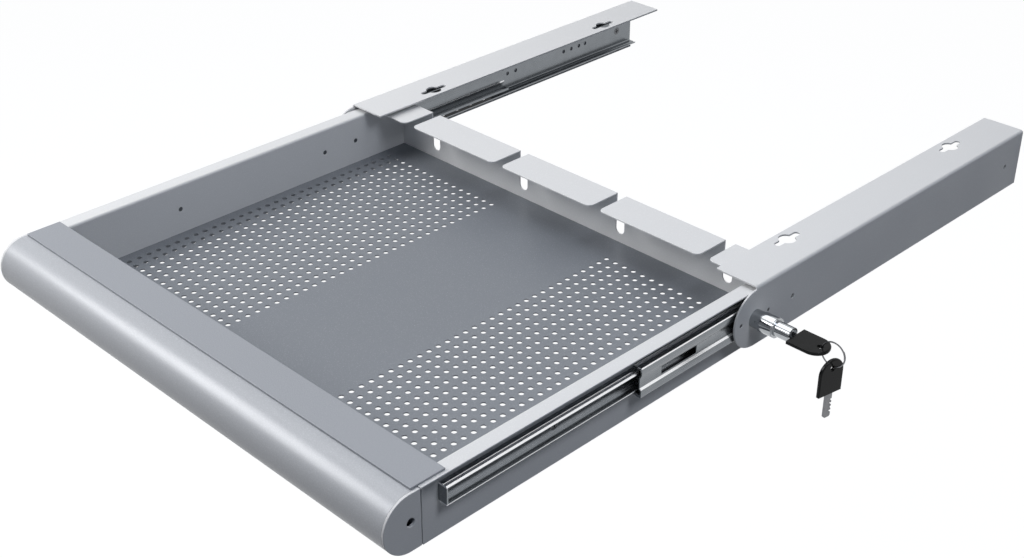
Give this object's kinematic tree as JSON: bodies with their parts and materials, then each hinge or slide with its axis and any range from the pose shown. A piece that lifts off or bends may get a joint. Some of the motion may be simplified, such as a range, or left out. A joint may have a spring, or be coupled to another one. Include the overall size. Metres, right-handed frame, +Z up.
{
  "type": "under-desk laptop security drawer",
  "caption": "Shallow sheet-metal drawer with a round nose that hangs under a desk on two brackets with ball runners and closes with a keyed push lock.",
  "frame": {"origin": "middle of the four desk holes, on the face of the bracket plates that lies against the desk", "axes": "+Z up into the desk, -Y towards the user, +X to the user's right, where the lock is"},
  "size_m": [0.5191, 0.7117, 0.0778],
  "materials": {
    "silver_paint": "satin",
    "nose_aluminium": "satin",
    "runner_zinc": "satin",
    "screw_zinc": "satin",
    "cage_plastic": "matte",
    "ball_steel": "polished",
    "lock_chrome": "polished",
    "key_nickel": "satin",
    "key_plastic": "gloss"
  },
  "bodies": {
    "brackets": {"bracket_left": "silver_paint", "bracket_right": "silver_paint", "runner_outer_left": "runner_zinc", "runner_outer_right": "runner_zinc", "bracket_screws": "screw_zinc", "lock_plate": "runner_zinc", "lock_screws": "screw_zinc", "lock_sleeve": "lock_chrome", "lock_spring": "ball_steel"},
    "drawer": {"floor_panel": "silver_paint", "side_wall_left": "silver_paint", "side_wall_right": "silver_paint", "back_panel": "silver_paint", "front_panel": "silver_paint", "nose_extrusion": "nose_aluminium", "end_plate_left": "silver_paint", "end_plate_right": "silver_paint", "strip_plate": "silver_paint", "nose_screws": "screw_zinc", "wall_screws": "screw_zinc", "runner_inner_left": "runner_zinc", "runner_inner_right": "runner_zinc"},
    "middle_left": {"runner_middle_left": "runner_zinc"},
    "middle_right": {"runner_middle_right": "runner_zinc"},
    "cage_outer_left": {"cage_outer_left": "cage_plastic", "balls_outer_left": "ball_steel"},
    "cage_outer_right": {"cage_outer_right": "cage_plastic", "balls_outer_right": "ball_steel"},
    "cage_inner_left": {"cage_inner_left": "cage_plastic", "balls_inner_left": "ball_steel"},
    "cage_inner_right": {"cage_inner_right": "cage_plastic", "balls_inner_right": "ball_steel"},
    "lock_barrel": {"lock_barrel": "lock_chrome", "lock_bolt": "ball_steel"},
    "lock_core": {"lock_core": "lock_chrome"},
    "key": {"key_blade": "key_nickel", "key_head": "key_plastic"},
    "key_ring": {"key_ring": "key_nickel"},
    "spare_key": {"spare_key_blade": "key_nickel", "spare_key_head": "key_plastic"}
  },
  "joints": [
    {"name": "drawer_slide", "type": "slide", "parent": "brackets", "child": "drawer", "axis": [0, 1, 0], "range_m": [0, 0.324]},
    {"name": "middle_left_slide", "type": "slide", "parent": "brackets", "child": "middle_left", "axis": [0, 1, 0], "range_m": [0, 0.162]},
    {"name": "cage_outer_left_slide", "type": "slide", "parent": "brackets", "child": "cage_outer_left", "axis": [0, 1, 0], "range_m": [0, 0.081]},
    {"name": "cage_inner_left_slide", "type": "slide", "parent": "brackets", "child": "cage_inner_left", "axis": [0, 1, 0], "range_m": [0, 0.243]},
    {"name": "middle_right_slide", "type": "slide", "parent": "brackets", "child": "middle_right", "axis": [0, 1, 0], "range_m": [0, 0.162]},
    {"name": "cage_outer_right_slide", "type": "slide", "parent": "brackets", "child": "cage_outer_right", "axis": [0, 1, 0], "range_m": [0, 0.081]},
    {"name": "cage_inner_right_slide", "type": "slide", "parent": "brackets", "child": "cage_inner_right", "axis": [0, 1, 0], "range_m": [0, 0.243]},
    {"name": "lock_push", "type": "slide", "parent": "brackets", "child": "lock_barrel", "axis": [-1, 0, 0], "range_m": [0, 0.008], "stiffness_N_per_m": 250},
    {"name": "lock_turn", "type": "hinge", "parent": "lock_barrel", "child": "lock_core", "pos_m": [0.254, -0.183, -0.0259], "axis": [1, 0, 0], "range_deg": [0, 90]},
    {"name": "key_pull", "type": "slide", "parent": "lock_core", "child": "key", "axis": [1, 0, 0], "range_m": [0, 0.024]},
    {"name": "ring_swing", "type": "hinge", "parent": "key", "child": "key_ring", "pos_m": [0.2771, -0.183, -0.0259], "axis": [1, 0, 0], "range_deg": [-25, 25]},
    {"name": "spare_key_swing", "type": "hinge", "parent": "key_ring", "child": "spare_key", "pos_m": [0.2879, -0.183, -0.0353], "axis": [1, 0, 0], "range_deg": [-40, 40]}
  ],
  "couplings": [
    {"joint": "middle_left_slide", "follows": "drawer_slide", "ratio": 0.5},
    {"joint": "cage_outer_left_slide", "follows": "drawer_slide", "ratio": 0.25},
    {"joint": "cage_inner_left_slide", "follows": "drawer_slide", "ratio": 0.75},
    {"joint": "middle_right_slide", "follows": "drawer_slide", "ratio": 0.5},
    {"joint": "cage_outer_right_slide", "follows": "drawer_slide", "ratio": 0.25},
    {"joint": "cage_inner_right_slide", "follows": "drawer_slide", "ratio": 0.75}
  ]
}
